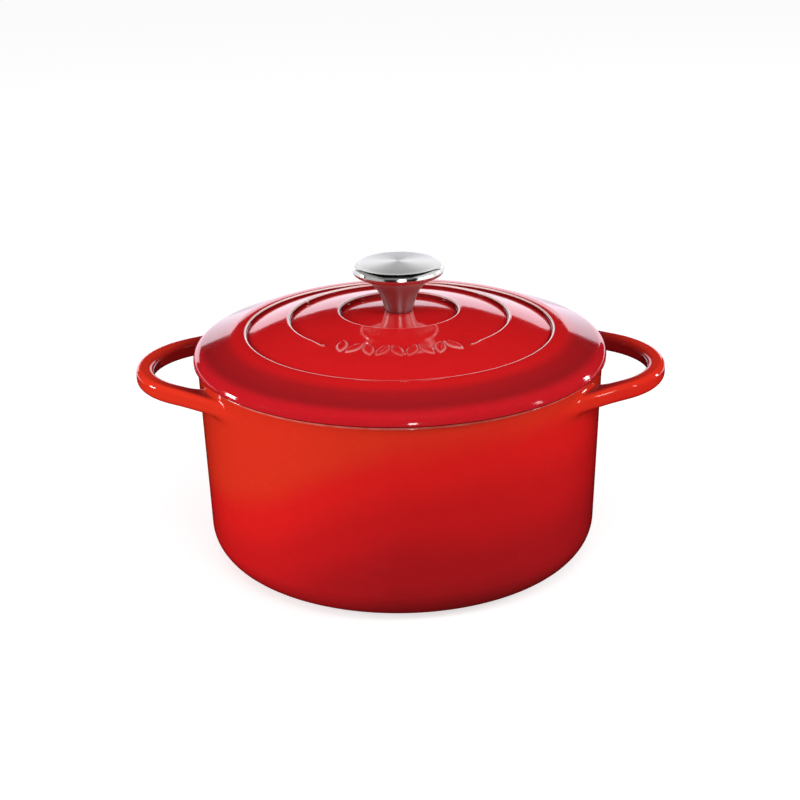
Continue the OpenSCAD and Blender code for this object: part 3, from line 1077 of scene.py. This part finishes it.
def emitter_material(name, strength):
    material = bpy.data.materials.new(name)
    material.use_nodes = True
    nodes = material.node_tree.nodes
    nodes.clear()
    glow = nodes.new("ShaderNodeEmission")
    glow.inputs["Color"].default_value = (0.94, 0.94, 1.06, 1)
    glow.inputs["Strength"].default_value = strength
    output = nodes.new("ShaderNodeOutputMaterial")
    material.node_tree.links.new(glow.outputs[0], output.inputs["Surface"])
    return material


def make_card(name, corners, strength):
    """A white studio card that only reflections see."""
    mesh = bpy.data.meshes.new(name)
    mesh.from_pydata(corners, [], [list(range(len(corners)))])
    mesh.materials.append(emitter_material(name, strength))
    card = bpy.data.objects.new(name, mesh)
    bpy.context.scene.collection.objects.link(card)
    card.visible_camera = False
    card.visible_diffuse = False
    card.visible_shadow = False
    return card


def make_softbox(name, place, aim, width, height, power, glossy=False):
    data = bpy.data.lights.new(name, "AREA")
    data.shape = "RECTANGLE"
    data.size, data.size_y = width, height
    data.energy = power
    light = bpy.data.objects.new(name, data)
    bpy.context.scene.collection.objects.link(light)
    direction = Vector(aim) - Vector(place)
    light.matrix_world = Matrix.Translation(place) @ direction.to_track_quat("-Z", "Y").to_matrix().to_4x4()
    light.visible_glossy = glossy
    return light


def make_floor():
    """A pale floor that the pot shades, and that its enamel doesn't mirror."""
    mesh = bpy.data.meshes.new("floor")
    maker = bmesh.new()
    bmesh.ops.create_circle(maker, cap_ends=True, radius=FLOOR_R, segments=64)
    maker.to_mesh(mesh)
    maker.free()
    finish = Finish("pale_floor", Base_Color=(0.55, 0.55, 0.55, 1), Roughness=0.9, Specular_IOR_Level=0.0,
                    Emission_Color=(1, 1, 1, 1), Emission_Strength=0.66)
    mesh.materials.append(finish.material)
    floor = bpy.data.objects.new("floor", mesh)
    bpy.context.scene.collection.objects.link(floor)
    floor.visible_glossy = False
    floor.visible_diffuse = False
    floor.location.z = -FLOOR_DROP


def make_world():
    """White to the camera, and a soft even light on the object."""
    world = bpy.data.worlds.new("studio")
    bpy.context.scene.world = world
    world.use_nodes = True
    world.cycles_visibility.glossy = False
    nodes, links = world.node_tree.nodes, world.node_tree.links
    nodes.clear()
    even, shown = nodes.new("ShaderNodeBackground"), nodes.new("ShaderNodeBackground")
    for background, strength in ((even, DOME_LIGHT), (shown, 1.0)):
        background.inputs["Color"].default_value = (1, 1, 1, 1)
        background.inputs["Strength"].default_value = strength
    path = nodes.new("ShaderNodeLightPath")
    mix = nodes.new("ShaderNodeMixShader")
    output = nodes.new("ShaderNodeOutputWorld")
    links.new(path.outputs["Is Camera Ray"], mix.inputs[0])
    links.new(even.outputs[0], mix.inputs[1])
    links.new(shown.outputs[0], mix.inputs[2])
    links.new(mix.outputs[0], output.inputs["Surface"])


def light_only(light, pieces):
    """Makes a light shine on these pieces alone."""
    group = bpy.data.collections.new(light.name + "_receivers")
    for piece in pieces:
        group.objects.link(piece)
    light.light_linking.receiver_collection = group


def around(turn, height):
    """A place on the studio's circle, with turn in degrees from the front towards the right."""
    return (STUDIO_R * math.sin(math.radians(turn)), -STUDIO_R * math.cos(math.radians(turn)), height)


def light_studio(knob):
    make_softbox("left_key", (-2.0, -0.8, 0.7), LIGHT_AIM, 1.0, 1.0, 24.5)
    make_softbox("right_fill", (1.8, -0.45, 1.15), LIGHT_AIM, 0.8, 0.8, 17)
    make_softbox("top_front", (0.05, -0.5, 0.75), LIGHT_AIM, 0.5, 0.3, 1.5)
    make_card("backdrop", [(-1.2, 1.5, 0), (0.75, 1.5, 0), (0.75, 1.5, 0.54), (-1.2, 1.5, 0.45)], 1.8)
    make_card("sweep", [(-1.2, 0.32, 0.001), (1.0, 0.32, 0.001), (1.0, 1.5, 0.001), (-1.2, 1.5, 0.001)], 1.2)
    for name, turn, height, width, power in GLINTS:
        strip = make_softbox(name, around(turn, height), LIGHT_AIM, width, 0.4, power, glossy=True)
        strip.visible_diffuse = False
    for name, turn, middle, width, tall, power in STEEL_PANELS:
        panel = make_softbox(name, around(turn, middle), KNOB_AIM, width, tall, power, glossy=True)
        light_only(panel, [knob])


make_camera()
make_world()
make_floor()
bpy.context.scene.view_settings.view_transform = "Standard"

pale = cream_enamel()
make_pot(pot_enamel(), pale)
make_lid(lid_enamel(), pale)
knob = make_knob(knob_steel())
light_studio(knob)
rubber, washer_steel = dark_rubber(), plain_steel()
make_ring("knob_seal", "knob_gasket", SEAL_HOLE_R, 0.15, rubber)
make_ring("underside_seal", "lid_gasket", SEAL_HOLE_R, 0.25, rubber)
make_ring("plain_washer", "flat_washer", WASHER_HOLE_R, 0.3, washer_steel)
make_lock_washer(washer_steel)
make_screw(washer_steel)
